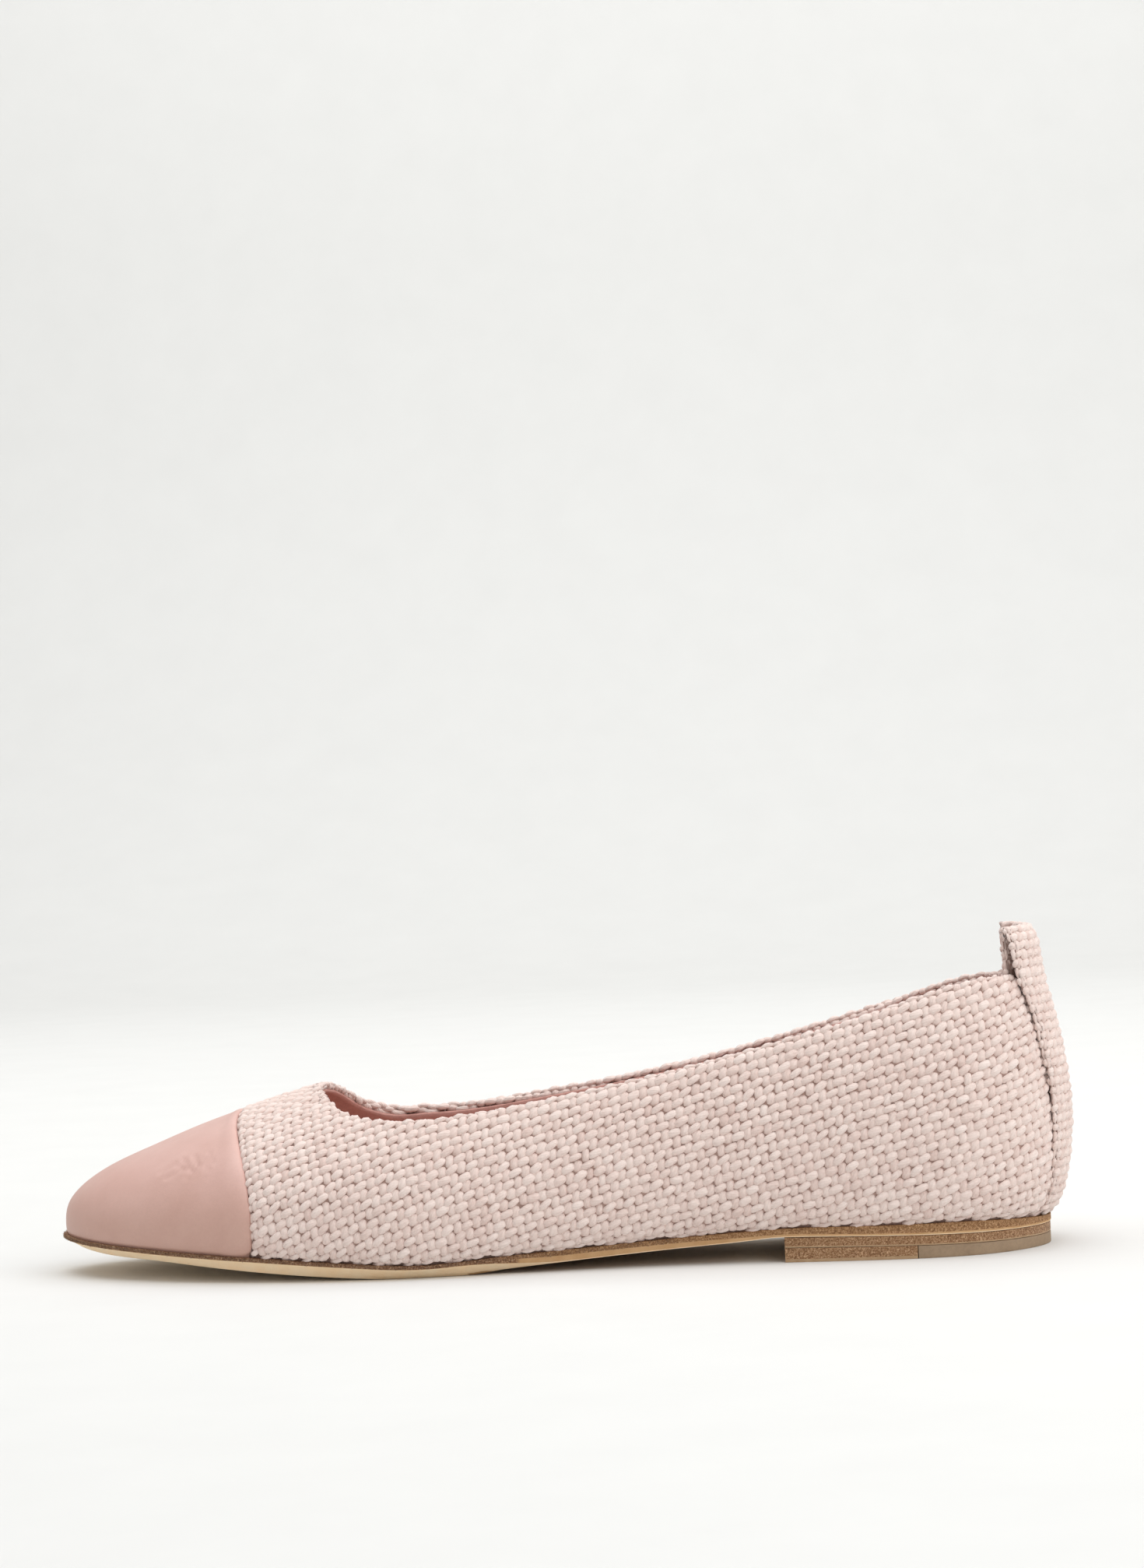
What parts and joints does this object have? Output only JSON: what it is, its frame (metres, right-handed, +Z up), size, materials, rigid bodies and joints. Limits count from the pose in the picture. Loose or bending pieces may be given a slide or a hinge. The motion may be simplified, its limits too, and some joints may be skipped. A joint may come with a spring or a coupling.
{
  "type": "ballet flat",
  "caption": "Low ballet flat for the left foot: woven fabric upper with a leather toe cap, pull loop at the heel, leather sole with toe spring and a low stacked heel",
  "frame": {"origin": "floor below the middle of the shoe's box", "axes": "+X towards the heel along the shoe's length, -Y towards the outer side of the foot, +Z up"},
  "size_m": [0.2556, 0.0788, 0.0788],
  "materials": {
    "sole_leather": "sueded edge, natural tread",
    "heel_leather": "stacked, matt",
    "heel_rubber": "matt",
    "upper_fabric": "chunky plain weave",
    "cap_leather": "smooth, soft sheen",
    "lining_leather": "smooth, matt"
  },
  "bodies": {
    "root": {"outsole": "sole_leather", "heel_lift": "heel_leather", "top_piece_front": "heel_leather", "top_piece_rear": "heel_rubber", "upper": "upper_fabric", "toe_cap": "cap_leather", "heel_strip": "upper_fabric", "insole": "lining_leather"}
  },
  "joints": []
}
